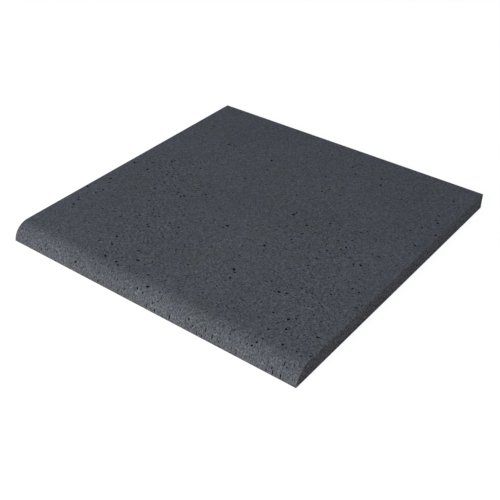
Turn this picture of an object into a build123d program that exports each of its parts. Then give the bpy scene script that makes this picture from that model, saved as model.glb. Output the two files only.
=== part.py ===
# Square pool coping tile with a half-bullnose along its front edge: one solid slab of dark, pored stone.
# The origin is at the middle of the underside, +Z is up, and the nose faces -Y and runs along X.
# All sizes are in millimetres.
import math
import os

from build123d import *

# Driving dimensions
tile_width = 600.0  # along the nose, X
tile_depth = 600.0  # from the nose to the back edge, Y
tile_thickness = 30.0
nose_radius = 33.0  # the arc is tangent to the top face and runs out near the underside
arris_ease = 0.5  # the small flat rubbed on every sawn edge, so that it doesn't spall

front_y = -tile_depth / 2
back_y = tile_depth / 2

# The nose arc's centre lies one radius under the top face. A radius over the thickness puts it below the
# underside, so the arc ends a few degrees short of upright. A smaller radius leaves an upright face below it.
nose_centre_z = tile_thickness - nose_radius
nose_foot_z = max(nose_centre_z, arris_ease)
nose_foot_drop = nose_foot_z - nose_centre_z
nose_centre_y = front_y + math.sqrt(nose_radius**2 - nose_foot_drop**2)

# An upright no taller than the arris is rubbed away with it.
has_upright = nose_foot_z > 2 * arris_ease
foot_ease_z = arris_ease if has_upright else nose_foot_z


def tile_section():
    """The slab's section across the nose, in the YZ plane, with its corners eased."""
    foot_angle = math.degrees(math.asin(nose_foot_drop / nose_radius))
    with BuildSketch(Plane.YZ) as section:
        with BuildLine():
            nose = CenterArc((nose_centre_y, nose_centre_z), nose_radius, 90, 90 - foot_angle)
            upright = [nose @ 1] if has_upright else []
            Polyline(
                *upright,
                (front_y, foot_ease_z),
                (front_y + arris_ease, 0),
                (back_y - arris_ease, 0),
                (back_y, arris_ease),
                (back_y, tile_thickness - arris_ease),
                (back_y - arris_ease, tile_thickness),
                nose @ 0,
            )
        make_face()
    return section.sketch


def coping_tile():
    """The section run along X, with the outline of both sawn ends eased."""
    slab = extrude(tile_section(), amount=tile_width / 2, both=True)
    end_faces = slab.faces().filter_by(Axis.X)
    return chamfer(end_faces.edges(), arris_ease)


if __name__ == "__main__":
    os.makedirs("parts", exist_ok=True)
    export_step(coping_tile(), "parts/coping_tile.step")
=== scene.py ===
import math
import random

import bpy
import numpy as np
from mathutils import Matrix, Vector
from mathutils.geometry import delaunay_2d_cdt


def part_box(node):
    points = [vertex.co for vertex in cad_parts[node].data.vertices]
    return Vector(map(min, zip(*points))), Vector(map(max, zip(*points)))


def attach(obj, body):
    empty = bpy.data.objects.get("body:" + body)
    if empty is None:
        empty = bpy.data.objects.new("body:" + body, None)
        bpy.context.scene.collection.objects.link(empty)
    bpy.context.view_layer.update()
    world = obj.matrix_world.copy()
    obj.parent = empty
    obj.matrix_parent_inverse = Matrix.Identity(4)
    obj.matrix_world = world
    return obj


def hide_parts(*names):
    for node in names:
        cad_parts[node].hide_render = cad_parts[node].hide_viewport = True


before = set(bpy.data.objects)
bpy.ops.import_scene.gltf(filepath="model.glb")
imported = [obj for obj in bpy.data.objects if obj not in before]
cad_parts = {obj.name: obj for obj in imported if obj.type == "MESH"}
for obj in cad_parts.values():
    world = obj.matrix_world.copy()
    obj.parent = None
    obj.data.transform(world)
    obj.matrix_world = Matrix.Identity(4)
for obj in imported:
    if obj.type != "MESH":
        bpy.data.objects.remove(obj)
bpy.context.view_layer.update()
mm = 0.001

# The slab's box comes from the frame. The nose and the arris repeat the CAD sizes. All in millimetres.
lowCorner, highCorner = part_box("coping_tile")
slab = {
    "width": (highCorner[0] - lowCorner[0]) / mm,
    "depth": (highCorner[1] - lowCorner[1]) / mm,
    "thickness": (highCorner[2] - lowCorner[2]) / mm,
    "noseRadius": 33.0,
    "arris": 0.5,
    "flatStep": 9.0,  # mesh spacing on the flat faces
    "noseStep": 2.8,  # closer down the nose, so that its arc stays round
    "alongNose": 6.0,
    "edgeStep": 4.0,  # along the arrises
    "jitter": 0.1,  # how far a free point of the mesh strays, as a share of its step
    "freeRoom": (1.0, 0.5),  # from a free point to the border, and to a pore
    "mapLip": 0.4,  # how far an arris reaches past the edge on the bake map, as a share of its size
    "sharpAngle": 35.0,  # degrees; edges that turn less are shaded smooth
}
endX = slab["width"] / 2
sheetX = endX - slab["arris"]  # the wrapped sheet stops where the end arrises begin


def sectionRuns():  # the section's outline: up the back, over the top, down the nose and home underneath
    half, top = slab["depth"] / 2, slab["thickness"]
    ease, radius = slab["arris"], slab["noseRadius"]
    centreZ = top - radius
    footAngle = math.asin((ease - centreZ) / radius)
    centreY = -half + radius * math.cos(footAngle)
    starts = {
        "back": (half, ease),
        "backArris": (half, top - ease),
        "top": (half - ease, top),
        "nose": (centreY, top),
        "footArris": (-half, ease),
        "under": (-half + ease, 0.0),
        "heelArris": (half - ease, 0.0),
    }
    ends = [*starts.values()][1:] + [starts["back"]]
    runs, reached = {}, 0.0
    for (name, start), end in zip(starts.items(), ends):
        length = radius * (math.pi / 2 - footAngle) if name == "nose" else math.dist(start, end)
        runs[name] = {"start": start, "end": end, "from": reached, "to": reached + length}
        reached += length
    return runs, (centreY, centreZ), reached


runs, noseCentre, girth = sectionRuns()
backEdge = runs["top"]["from"] - slab["arris"]


def onSection(s):  # place and outward normal s millimetres round the section
    s = np.asarray(s, float)
    y, z, normalY, normalZ = np.zeros((4, *s.shape))
    for name, run in runs.items():
        here = (s >= run["from"]) & (s <= run["to"])
        t = s[here] - run["from"]
        if name == "nose":
            turn = t / slab["noseRadius"]
            normalY[here], normalZ[here] = -np.sin(turn), np.cos(turn)
            y[here] = noseCentre[0] + slab["noseRadius"] * normalY[here]
            z[here] = noseCentre[1] + slab["noseRadius"] * normalZ[here]
        else:
            along = np.subtract(run["end"], run["start"]) / (run["to"] - run["from"])
            normalY[here], normalZ[here] = along[1], -along[0]
            y[here], z[here] = (run["start"][i] + along[i] * t for i in (0, 1))
    return y, z, normalY, normalZ


# Pores are bubbles in the stone that the saw has cut open. Sizes in millimetres, from the photograph.
pores = {
    "seed": 16,
    "kinds": [  # number in a square decimetre, and the bowl's rings: shares of width and depth, points
        {"width": (1.5, 2.5), "number": 50, "rings": [(1, 0, 6), (0.5, 1, 3)]},
        {"width": (2.5, 3.8), "number": 34, "rings": [(1, 0, 8), (0.72, 0.75, 6), (0, 1, 1)]},
        {
            "width": (3.8, 5.0),
            "number": 1,
            "rings": [(1, 0, 12), (0.86, 0.5, 12), (0.5, 0.92, 7), (0, 1, 1)],
        },
    ],
    "depth": (0.7, 1.15),  # as a share of the width
    "rimReach": 0.6,  # how far an uneven rim gets from its middle, as a share of the width
    "swell": (0.88, 0.18, 0.08),  # an uneven rim's mean size, and its waves of two lobes and of three
    "gap": 0.35,  # stone left between two rims, and between a rim and an arris
    "tries": 60,  # at finding a pore a free place
    "faces": {"top": 1.0, "nose": 0.6, "back": 1.2, "under": 0.25, "end": 1.6},  # share of those numbers
    "noseShape": (0.5, 1.8),  # on the nose they are slimmer, and drawn out down the curve
    "crowds": [  # x, millimetres from the back edge, radius, weight
        (200, 435, 28, 0.9), (245, 455, 28, 0.9), (258, 528, 30, 0.7), (150, 275, 38, 0.5),
        (205, 345, 42, 0.4), (125, 378, 28, 0.4), (-140, 442, 38, 0.8), (-80, 425, 30, 0.4),
        (-97, 518, 32, 0.8), (15, 468, 32, 0.45), (35, 540, 38, 0.45), (125, 535, 34, 0.45),
        (70, 185, 28, 0.35), (-212, 260, 30, 0.5), (-168, 325, 40, 0.45), (250, 55, 50, 0.25),
        (105, 55, 45, 0.25),
    ],
    "strays": 0.22,  # the chance that a place away from the crowds is taken
    "landmarks": {  # the plainest ones, read off: width, then x and millimetres from the back edge
        7.8: [(64, 269), (-7, 369), (81, 462), (-173, 134), (-60, 539)],
        6.6: [
            (135, 88), (-81, 137), (279, 138), (-187, 137), (-1, 580), (-80, 222), (280, 222),
            (-232, 259), (-259, 285), (-249, 311), (-286, 307), (-191, 327), (-130, 341), (80, 378),
            (238, 327), (-281, 378), (-113, 455), (-270, 484), (-294, 426), (173, 465), (185, 461),
            (-136, 510), (-77, 518), (-19, 558), (-85, 563), (-111, 563), (224, 511), (282, 518),
            (-126, 532),
        ],
        5.5: [
            (125, 67), (-66, 172), (60, 173), (270, 116), (294, 173), (-148, 150), (-229, 253),
            (-171, 246), (-171, 274), (-190, 289), (65, 261), (188, 245), (131, 254), (191, 298),
            (249, 288), (102, 284), (-193, 302), (-127, 305), (-121, 309), (-102, 313), (-147, 338),
            (-190, 354), (76, 307), (-9, 378), (226, 331), (110, 310), (-120, 420), (-70, 425),
            (290, 425), (-280, 462), (-274, 468), (234, 532), (90, 484), (-233, 293), (250, 563),
        ],
        4.8: [
            (84, 36), (58, 62), (76, 81), (246, 56), (190, 107), (36, 124), (68, 174), (264, 167),
            (252, 187), (273, 131), (-212, 277), (-208, 293), (-207, 302), (-112, 289), (31, 213),
            (195, 235), (189, 274), (171, 290), (126, 293), (284, 292), (-167, 300), (-150, 318),
            (-134, 346), (-145, 345), (-169, 352), (54, 328), (188, 309), (171, 325), (170, 354),
            (106, 335), (-272, 391), (-170, 392), (-89, 390), (88, 391), (260, 388), (273, 390),
            (-263, 417), (-268, 431), (-164, 435), (-150, 438), (65, 427), (241, 421), (196, 436),
            (208, 439), (-119, 452), (-217, 463), (-174, 462), (-131, 465), (-12, 465), (87, 468),
            (147, 450), (142, 455), (247, 455), (248, 479), (14, 498), (196, 512), (216, 527),
            (-151, 538), (80, 541), (-77, 569), (219, 570), (-152, 598),
        ],
        4.2: [(211, 588), (215, 580), (275, 563), (95, 596), (-16, 590)],
        3.0: [(-226, 596)],
    },
    "slots": [  # slim upright ones on the nose: x, millimetres from the back edge, length
        (60, 608.5, 11), (272, 609.5, 10), (258, 610, 8), (12, 609, 8.5), (29, 610, 8), (144, 604, 8),
        (157, 606, 5.5), (191, 610.5, 4.5), (247, 610.5, 4), (125, 611, 6), (115, 611, 7),
        (-96, 610, 5), (-219, 601, 5.5), (-3, 593, 5), (-39, 601, 7), (-37, 568, 4), (22, 600, 6),
        (130, 599, 7), (115, 572, 4), (24, 579, 7), (203, 589, 5), (271, 590, 8), (277, 593, 4),
        (255, 604, 4.5), (285, 567, 6),
    ],
    "slotWidth": 2.3,
}
rng = random.Random(pores["seed"])


def newField():
    return {"cell": 10.0, "at": {}, "all": []}


def isClear(field, u, v, room):  # no pore of the field reaches within room of this place
    cu, cv = int(u // field["cell"]), int(v // field["cell"])
    near = [p for i in (-1, 0, 1) for j in (-1, 0, 1) for p in field["at"].get((cu + i, cv + j), ())]
    return all(math.hypot(u - p["u"], v - p["v"]) >= p["reach"] + room for p in near)


def addPore(field, kind, u, v, width, shape=(1.0, 1.0)):  # shape scales it along u and v
    pore = {"u": u, "v": v, "width": width, "shape": shape, "rings": kind["rings"]}
    pore["reach"] = pores["rimReach"] * width * max(shape)
    pore["deep"] = width * rng.uniform(*pores["depth"])
    pore["lobes"] = [rng.uniform(0, math.tau) for _ in range(3)]
    cell = (int(u // field["cell"]), int(v // field["cell"]))
    field["at"].setdefault(cell, []).append(pore)
    field["all"].append(pore)


def crowding(x, s):  # up to 1 in the thick of a crowd, 0 well away from one
    total = 0.0
    for crowdX, back, radius, weight in pores["crowds"]:
        square = (x - crowdX) ** 2 + (s - backEdge - back) ** 2
        total = total + weight * np.exp(-square / (2 * radius * radius))
    return np.minimum(total, 1.0)


def scatter(field, spanU, spanV, share, inside, shape=(1.0, 1.0), crowded=False):
    area = (spanU[1] - spanU[0]) * (spanV[1] - spanV[0]) / 1e4  # square decimetres
    for kind in reversed(pores["kinds"]):  # the widest first
        low, high = kind["width"]
        for _ in range(round(kind["number"] * area * share)):
            for _ in range(pores["tries"]):
                u, v = rng.uniform(*spanU), rng.uniform(*spanV)
                width = low + (high - low) * rng.random() ** 2  # more narrow ones than wide ones
                reach = pores["rimReach"] * width * max(shape) + pores["gap"]
                wanted = not crowded or rng.random() < pores["strays"] + crowding(u, v)
                if wanted and inside(u, v, reach) and isClear(field, u, v, reach):
                    addPore(field, kind, u, v, width, shape)
                    break


def ringPoints(pore, share, count):  # an uneven ring, all of it in sight of its middle
    twist, second, third = pore["lobes"]
    mean, two, three = pores["swell"]
    for i in range(count):
        turn = math.tau * i / count + share
        swell = mean + two * math.cos(2 * turn + second) + three * math.cos(3 * turn + third)
        ru, rv = (pore["width"] / 2 * share * swell * scale for scale in pore["shape"])
        yield pore["u"] + ru * math.cos(turn + twist), pore["v"] + rv * math.sin(turn + twist)


def steps(low, high, step):
    return np.linspace(low, high, math.ceil((high - low) / step) + 1)


def freePoints(field, spanU, spanV, stepU, stepV, inside):  # staggered rows between the pores
    jitter = slab["jitter"]
    toBorder, toPore = slab["freeRoom"]
    for row, v in enumerate(steps(*spanV, stepV)[1:-1]):
        for u in steps(*spanU, stepU)[1:-1]:
            u += stepU * ((row % 2 - 0.5) / 2 + rng.uniform(-jitter, jitter))
            if inside(u, v, toBorder) and isClear(field, u, v, toPore):
                yield u, v


def sheetMesh(border, lines, free, sheetPores):  # triangles between the border, the lines and the rings
    points, depths, owners, edges, index = [], [], [], [], {}

    def chain(places, depth=0.0, owner=-1):
        ids = []
        for u, v in places:
            key = (round(u, 4), round(v, 4))
            if key not in index:
                index[key] = len(points)
                points.append((u, v))
                depths.append(depth)
                owners.append(owner)
            ids.append(index[key])
        edges.extend(zip(ids[:-1], ids[1:]))
        return ids

    ring = chain(border)
    edges.append((ring[-1], ring[0]))
    for line in lines:
        chain(line)
    for owner, pore in enumerate(sheetPores):
        for share, depth, count in pore["rings"]:
            ids = chain(ringPoints(pore, share, count), depth, owner)
            edges.extend([(ids[-1], ids[0])] if count > 1 else [])
    for place in free:
        chain([place])
    made = delaunay_2d_cdt(points, edges, [], 1, 1e-5, True)
    assert len(made[0]) == len(points), "two outlines of a sheet cross"
    source = np.array([ids[0] for ids in made[3]])
    deep = np.array([pore["deep"] for pore in sheetPores] + [0.0])
    middle = np.array([pore["v"] for pore in sheetPores] + [0.0])
    return {
        "points": np.array(points),
        "depth": np.array(depths),  # share of its pore's depth
        "sink": deep[owners] * depths,  # the same in millimetres
        "middle": middle[owners],  # v of its pore's middle
        "faces": source[np.array(made[2])],
        "ring": np.array(ring),
        "pores": len(sheetPores),
    }


def wrappedSheet():  # u is x, and v runs round the section
    across = steps(-sheetX, sheetX, slab["edgeStep"])
    loop = []
    for name, run in runs.items():
        step = slab["noseStep"] if name == "nose" else slab["edgeStep"]
        loop.extend(steps(run["from"], run["to"], step)[:-1])
    border = [(x, 0.0) for x in across[:-1]] + [(sheetX, s) for s in loop]
    border += [(x, girth) for x in across[:0:-1]] + [(-sheetX, s) for s in [girth, *loop[:0:-1]]]
    kept = [runs[name]["from"] for name in ("backArris", "top", "footArris", "under", "heelArris")]
    field, free = newField(), []
    for width, spots in pores["landmarks"].items():
        for x, back in spots:
            addPore(field, pores["kinds"][-1], x, backEdge + back, width)
    for x, back, length in pores["slots"]:
        width = pores["slotWidth"]
        addPore(field, pores["kinds"][-1], x, backEdge + back, width, (1.0, length / width))
    for name in ("top", "nose", "back", "under"):
        span = (runs[name]["from"], runs[name]["to"])
        onTop, onNose = name == "top", name == "nose"

        def inside(u, v, room):  # the top runs into the nose with no arris between
            low, high = (0 if onNose else room), (0 if onTop else room)
            return abs(u) < sheetX - room and span[0] + low < v < span[1] - high

        shape = pores["noseShape"] if onNose else (1.0, 1.0)
        scatter(field, (-sheetX, sheetX), span, pores["faces"][name], inside, shape, onTop)
        stepU = slab["alongNose"] if onNose else slab["flatStep"]
        stepV = slab["noseStep"] if onNose else slab["flatStep"]
        free += freePoints(field, (-sheetX, sheetX), span, stepU, stepV, inside)
    sheet = sheetMesh(border, [[(x, s) for x in across] for s in kept], free, field["all"])
    return sheet, np.array(loop)


def endSheet(outline):  # u is y and v is z, inside the section
    half, top, ease = slab["depth"] / 2, slab["thickness"], slab["arris"]

    def inside(u, v, room):
        flat = u < half - ease - room and ease + room < v < top - ease - room
        reach = math.hypot(u - noseCentre[0], v - noseCentre[1])
        return flat and (u > noseCentre[0] or reach < slab["noseRadius"] - ease - room)

    field = newField()
    scatter(field, (-half, half), (0, top), pores["faces"]["end"], inside)
    free = list(freePoints(field, (-half, half), (0, top), slab["flatStep"], slab["flatStep"], inside))
    return sheetMesh([tuple(place) for place in outline], [], free, field["all"])


def loopCorners(loop):  # place and mitred normal at each stop of the loop, where two runs may meet
    y, z, _, _ = onSection(loop)
    before, after = onSection((loop - 1e-6) % girth), onSection(loop + 1e-6)
    square = 1 + before[2] * after[2] + before[3] * after[3]
    return np.stack([y, z], 1), np.stack([(before[i] + after[i]) / square for i in (2, 3)], 1)


# The bake map: the top, nose and back get the most room, then the underside and the two ends
underFrom = runs["under"]["from"]
across = (-sheetX, sheetX)
endways = {"u": (0, slab["thickness"]), "v": (-slab["depth"] / 2, slab["depth"] / 2)}
mapAreas = {
    "upper": {"at": (0.005, 0.005), "size": (0.61, 0.99), "u": across, "v": (0, underFrom)},
    "under": {"at": (0.625, 0.005), "size": (0.24, 0.99), "u": across, "v": (underFrom, girth)},
    "left": {"at": (0.875, 0.01), "size": (0.05, 0.98), **endways},
    "right": {"at": (0.94, 0.01), "size": (0.05, 0.98), **endways},
}


def onMap(area, places):
    spot = mapAreas[area]
    low, high = np.array([spot["u"], spot["v"]]).T
    return np.array(spot["at"]) + (places - low) / (high - low) * np.array(spot["size"])


# Charcoal basalt, sawn and honed: matt blue-grey with fine grain, a few olive clouds and dark open pores,
# with painted shade inside them
stone = {
    "base": "#44474F",
    "dark": "#23262B",
    "light": "#64686F",
    "oliveTint": "#FEFFF3",
    "paintedPoreShade": 0.2,  # painted shade: what is left of the colour inside a pore
    "poreRim": 0.3,  # share of the depth at which that is reached
    "roughness": (0.72, 0.9),
    "ior": 1.5,
    "specular": 0.12,
    "grainSize": 2.6,  # the real grain is about 1 mm; it is drawn coarser, so that it shows
    "grainNoise": (2.0, 0.6),  # detail, and how much the detail counts
    "flecks": (0.25, 0.75),  # values of the grain at which it is darkest and lightest
    "cloudSize": 52.0,
    "cloudDetail": 3.0,
    "olive": (0.57, 0.66),  # values of a cloud between which the tint sets in
    "driftSize": 160.0,
    "driftDetail": 2.0,
    "drift": (0.3, 0.7),  # values of the slow drift, and the levels that they give the colour
    "driftLevel": (0.94, 1.06),
    "bump": (0.4, 0.3),  # strength, and height of the grain in millimetres
    "topGrain": (0.71, 0.92),  # strength of the grain away from a crowd of pores, and in one
    "noseGrain": (0.95, 1.3),  # at the top of the curve, and at its foot
    "sawnGrain": 1.4,  # on the back, the underside and both ends
    "noseFine": 1.7,  # on the nose the grain is finer
    "noseDraw": 2.3,  # and drawn out down the curve
}


def tileMesh():
    wrap, loop = wrappedSheet()
    print("wrapped sheet:", len(wrap["faces"]), "triangles,", wrap["pores"], "pores")
    x, s = wrap["points"].T
    y, z, _, _ = onSection(s)
    _, _, normalY, normalZ = onSection(wrap["middle"])  # a pore goes straight in at its middle
    turn = (s - runs["nose"]["from"]) / slab["noseRadius"]
    drawn = slab["noseRadius"] * stone["noseFine"] / stone["noseDraw"]
    quiet, busy = stone["topGrain"]
    topStrength = quiet + (busy - quiet) * crowding(x, s)
    noseStrength = np.interp(turn, (0, math.pi / 2), stone["noseGrain"])
    sawn = (s < runs["top"]["from"]) | (s > underFrom)
    points = {
        "place": [np.stack([x, y - normalY * wrap["sink"], z - normalZ * wrap["sink"]], 1)],
        "pore": [wrap["depth"]],
        "strength": [np.select([sawn, turn < 0], [stone["sawnGrain"], topStrength], noseStrength)],
    }
    foot = {round(u, 3): i for i, (u, v) in enumerate(wrap["points"]) if v == 0}
    same = np.array([foot[round(u, 3)] if v == girth else i for i, (u, v) in enumerate(wrap["points"])])
    turned = wrap["faces"][:, ::-1]
    faces = same[turned].tolist()  # the sheet closes on itself at the back's foot
    flat = wrap["points"][turned]
    middle = flat[..., 1].mean(1)[:, None, None]
    maps = [np.where(middle > underFrom, onMap("under", flat), onMap("upper", flat)).reshape(-1, 2)]
    onNose = (middle > runs["nose"]["from"]) & (middle < runs["footArris"]["from"])
    flatGrain = np.stack([x, y, z], 1)[turned]
    noseGrain = np.stack([x * stone["noseFine"], drawn * np.sin(turn), drawn * np.cos(turn)], 1)[turned]
    grain = [np.where(onNose, noseGrain, flatGrain).reshape(-1, 3)]  # it may jump where the nose begins
    rim, mitre = loopCorners(loop)
    outline = rim - mitre * slab["arris"]
    lip = rim + mitre * slab["arris"] * slab["mapLip"]  # an arris keeps its width on the map
    wrapIndex = {(round(u, 3), round(v, 3)): i for i, (u, v) in enumerate(wrap["points"])}
    for side, name in ((-1, "left"), (1, "right")):
        sheet = endSheet(outline)
        print(name, "end:", len(sheet["faces"]), "triangles,", sheet["pores"], "pores")
        base = sum(len(places) for places in points["place"])
        flat = sheet["points"]
        end = np.full(len(flat), side * endX)
        points["place"].append(np.column_stack([end - side * sheet["sink"], flat]))
        points["pore"].append(sheet["depth"])
        points["strength"].append(np.full(len(flat), stone["sawnGrain"]))
        turned = sheet["faces"][:, ::side]
        faces += (turned + base).tolist()
        maps.append(onMap(name, flat[turned][..., ::-1]).reshape(-1, 2))
        grain.append(np.column_stack([end, flat])[turned].reshape(-1, 3))
        inner = sheet["ring"] + base
        outer = np.array([wrapIndex[round(side * sheetX, 3), round(stop, 3)] for stop in loop])
        strip = np.stack([outer, inner, np.roll(inner, -1), np.roll(outer, -1)], 1)
        faces += strip[:, ::-side].tolist()
        edges = np.stack([lip, outline, np.roll(outline, -1, 0), np.roll(lip, -1, 0)], 1)
        edges = edges[:, ::-side].reshape(-1, 2)
        maps.append(onMap(name, edges[:, ::-1]))
        grain.append(np.column_stack([np.full(len(edges), side * endX), edges]))
    points = {name: np.concatenate(values) for name, values in points.items()}
    used = np.unique(np.concatenate(faces))
    number = np.zeros(len(points["place"]), int)
    number[used] = np.arange(len(used))
    mesh = bpy.data.meshes.new("copingTile")
    mesh.from_pydata((points["place"][used] * mm).tolist(), [], [number[face].tolist() for face in faces])
    grainAt = mesh.attributes.new("grain", "FLOAT_VECTOR", "CORNER")
    grainAt.data.foreach_set("vector", np.concatenate(grain).ravel())
    for name in ("pore", "strength"):
        mesh.attributes.new(name, "FLOAT", "POINT").data.foreach_set("value", points[name][used])
    mesh.uv_layers.new(name="OFBake").uv.foreach_set("vector", np.concatenate(maps).ravel())
    mesh.shade_smooth()
    mesh.set_sharp_from_angle(angle=math.radians(slab["sharpAngle"]))
    return mesh


def linear(code):  # sRGB hex to the linear colour that the shaders take
    channels = [int(code[i : i + 2], 16) / 255 for i in (1, 3, 5)]
    return [c / 12.92 if c <= 0.04045 else ((c + 0.055) / 1.055) ** 2.4 for c in channels] + [1.0]


def addNode(tree, kind, inputs, **settings):
    node = tree.nodes.new("ShaderNode" + kind)
    for name, value in settings.items():
        setattr(node, name, value)
    for name, value in inputs.items():
        if isinstance(value, bpy.types.NodeSocket):
            tree.links.new(value, node.inputs[name])
        else:
            node.inputs[name].default_value = value
    return node


def honedBasalt():
    material = bpy.data.materials.new("honedBasalt")
    material.use_nodes = True
    tree = material.node_tree
    tree.nodes.clear()
    grainAt = addNode(tree, "Attribute", {}, attribute_name="grain").outputs["Vector"]
    pore = addNode(tree, "Attribute", {}, attribute_name="pore").outputs["Fac"]
    strength = addNode(tree, "Attribute", {}, attribute_name="strength").outputs["Fac"]
    tileAt = addNode(tree, "TexCoord", {}).outputs["Object"]
    detail, fineShare = stone["grainNoise"]
    grain = addNode(tree, "TexNoise", {
        "Vector": grainAt, "Scale": 1 / stone["grainSize"], "Detail": detail, "Roughness": fineShare,
    }).outputs["Fac"]
    cloud = addNode(tree, "TexNoise", {
        "Vector": tileAt, "Scale": 1 / (stone["cloudSize"] * mm), "Detail": stone["cloudDetail"],
    })
    drift = addNode(tree, "TexNoise", {
        "Vector": tileAt, "Scale": 1 / (stone["driftSize"] * mm), "Detail": stone["driftDetail"],
    })
    swing = addNode(tree, "Math", {0: grain, 1: 0.5}, operation="SUBTRACT")
    vivid = addNode(tree, "Math", {0: swing.outputs[0], 1: strength, 2: 0.5}, operation="MULTIPLY_ADD")
    fleck = addNode(tree, "ValToRGB", {"Fac": vivid.outputs[0]})
    ramp = fleck.color_ramp.elements
    darkest, lightest = stone["flecks"]
    ramp.new(0.5).color = linear(stone["base"])
    ramp[0].position, ramp[0].color = darkest, linear(stone["dark"])
    ramp[2].position, ramp[2].color = lightest, linear(stone["light"])
    plain, tinted = stone["olive"]
    patch = addNode(tree, "MapRange", {
        "Value": cloud.outputs["Fac"], "From Min": plain, "From Max": tinted,
    })
    toned = addNode(tree, "Mix", {
        "Factor": patch.outputs[0], 6: fleck.outputs[0], 7: linear(stone["oliveTint"]),
    }, data_type="RGBA", blend_type="MULTIPLY")
    (low, high), (dimmest, brightest) = stone["drift"], stone["driftLevel"]
    level = addNode(tree, "MapRange", {
        "Value": drift.outputs["Fac"], "From Min": low, "From Max": high,
        "To Min": dimmest, "To Max": brightest,
    })
    # painted shade in the pores: the colour darkens from the rim down to a share of the pore's depth,
    # then stays dark
    shade = addNode(tree, "MapRange", {
        "Value": pore, "From Max": stone["poreRim"], "To Min": 1.0, "To Max": stone["paintedPoreShade"],
    })
    # the stone's slow random drift in tone, times the painted shade in the pores
    dim = addNode(tree, "Math", {0: level.outputs[0], 1: shade.outputs[0]}, operation="MULTIPLY")
    colour = addNode(tree, "VectorMath", {
        0: toned.outputs[2], "Scale": dim.outputs[0],
    }, operation="SCALE")
    smooth, coarse = stone["roughness"]
    rough = addNode(tree, "MapRange", {"Value": grain, "To Min": smooth, "To Max": coarse})
    firmness, height = stone["bump"]
    bump = addNode(tree, "Bump", {"Height": grain, "Strength": firmness, "Distance": height * mm})
    shader = addNode(tree, "BsdfPrincipled", {
        "Base Color": colour.outputs[0], "Roughness": rough.outputs[0], "Normal": bump.outputs[0],
        "IOR": stone["ior"], "Specular IOR Level": stone["specular"],
    })
    addNode(tree, "OutputMaterial", {"Surface": shader.outputs[0]})
    return material


tile = bpy.data.objects.new("copingTile", tileMesh())
bpy.context.collection.objects.link(tile)
tile.data.materials.append(honedBasalt())
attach(tile, "root")
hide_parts("coping_tile")
print("tile:", len(tile.data.vertices), "points,", len(tile.data.polygons), "faces")

# A pale floor that the camera sees as white paper, with the tile's soft shadow left on it
studio = {
    "floorHalf": 6.0,  # metres
    "floorDrop": 0.1,  # millimetres, clear of the tile's bed
    "floorColour": "#F0E0D2",
    "paperColour": "#616161",
    "paperGlow": 0.93,
    "skyColour": "#F2F5FF",
    "skyLevel": 0.506,
    "keyColour": "#FFFCF5",
    "keyPower": 57.2,
    "keyFrom": (-3.0, 24.0, 2.33),  # azimuth, elevation, metres
    "keySize": 0.95,
}


def away(azimuth, elevation, distance):  # azimuth 0 is in front of the nose, 90 is off the right end
    a, e = math.radians(azimuth), math.radians(elevation)
    return Vector((math.sin(a) * math.cos(e), -math.cos(a) * math.cos(e), math.sin(e))) * distance


def seenRays(tree):  # 1 for what the camera sees, straight or in a reflection
    path = addNode(tree, "LightPath", {}).outputs
    some = addNode(tree, "Math", {0: path["Is Camera Ray"], 1: path["Is Glossy Ray"]}, operation="ADD")
    every = addNode(tree, "Math", {0: some.outputs[0], 1: path["Is Transmission Ray"]}, operation="ADD")
    return every.outputs[0]


def whitePaper():
    material = bpy.data.materials.new("whitePaper")
    material.use_nodes = True
    tree = material.node_tree
    tree.nodes.clear()
    plain = addNode(tree, "BsdfDiffuse", {"Color": linear(studio["floorColour"])})
    shown = addNode(tree, "BsdfDiffuse", {"Color": linear(studio["paperColour"])})
    glow = addNode(tree, "Emission", {"Strength": studio["paperGlow"]})
    paper = addNode(tree, "AddShader", {0: shown.outputs[0], 1: glow.outputs[0]})
    mix = addNode(tree, "MixShader", {0: seenRays(tree), 1: plain.outputs[0], 2: paper.outputs[0]})
    addNode(tree, "OutputMaterial", {"Surface": mix.outputs[0]})
    return material


def addFloor():
    half = studio["floorHalf"]
    mesh = bpy.data.meshes.new("floor")
    corners = [(-half, -half, 0), (half, -half, 0), (half, half, 0), (-half, half, 0)]
    mesh.from_pydata(corners, [], [(0, 1, 2, 3)])
    mesh.materials.append(whitePaper())
    floor = bpy.data.objects.new("floor", mesh)
    floor.location.z = -studio["floorDrop"] * mm
    bpy.context.collection.objects.link(floor)


def addSky():
    world = bpy.data.worlds.new("studio")
    world.use_nodes = True
    tree = world.node_tree
    tree.nodes.clear()
    soft = addNode(tree, "Background", {
        "Color": linear(studio["skyColour"]), "Strength": studio["skyLevel"],
    })
    white = addNode(tree, "Background", {"Color": linear("#FFFFFF"), "Strength": 1.0})
    mix = addNode(tree, "MixShader", {0: seenRays(tree), 1: soft.outputs[0], 2: white.outputs[0]})
    addNode(tree, "OutputWorld", {"Surface": mix.outputs[0]})
    bpy.context.scene.world = world


def addKey():
    light = bpy.data.lights.new("frontKey", "AREA")
    light.energy, light.size = studio["keyPower"], studio["keySize"]
    light.color = linear(studio["keyColour"])[:3]
    key = bpy.data.objects.new("frontKey", light)
    key.location = away(*studio["keyFrom"])
    key.rotation_euler = key.location.to_track_quat("Z", "Y").to_euler()
    bpy.context.collection.objects.link(key)


# The photograph's camera, fitted to the tile's corners and edges
view = {
    "azimuth": 37.79,
    "elevation": 35.39,
    "distance": 1.525,
    "aim": (0.0294, -0.0806, 0.0),
    "lens": 63.41,
    "shiftX": 0.0202,
}


def addCamera():
    data = bpy.data.cameras.new("camera")
    data.lens, data.shift_x = view["lens"], view["shiftX"]
    camera = bpy.data.objects.new("camera", data)
    camera.location = Vector(view["aim"]) + away(view["azimuth"], view["elevation"], view["distance"])
    camera.rotation_euler = (math.radians(90 - view["elevation"]), 0, math.radians(view["azimuth"]))
    bpy.context.collection.objects.link(camera)
    bpy.context.scene.camera = camera


addFloor()
addSky()
addKey()
addCamera()
bpy.context.scene.view_settings.view_transform = "Standard"
print("studio: floor, sky, key and camera")
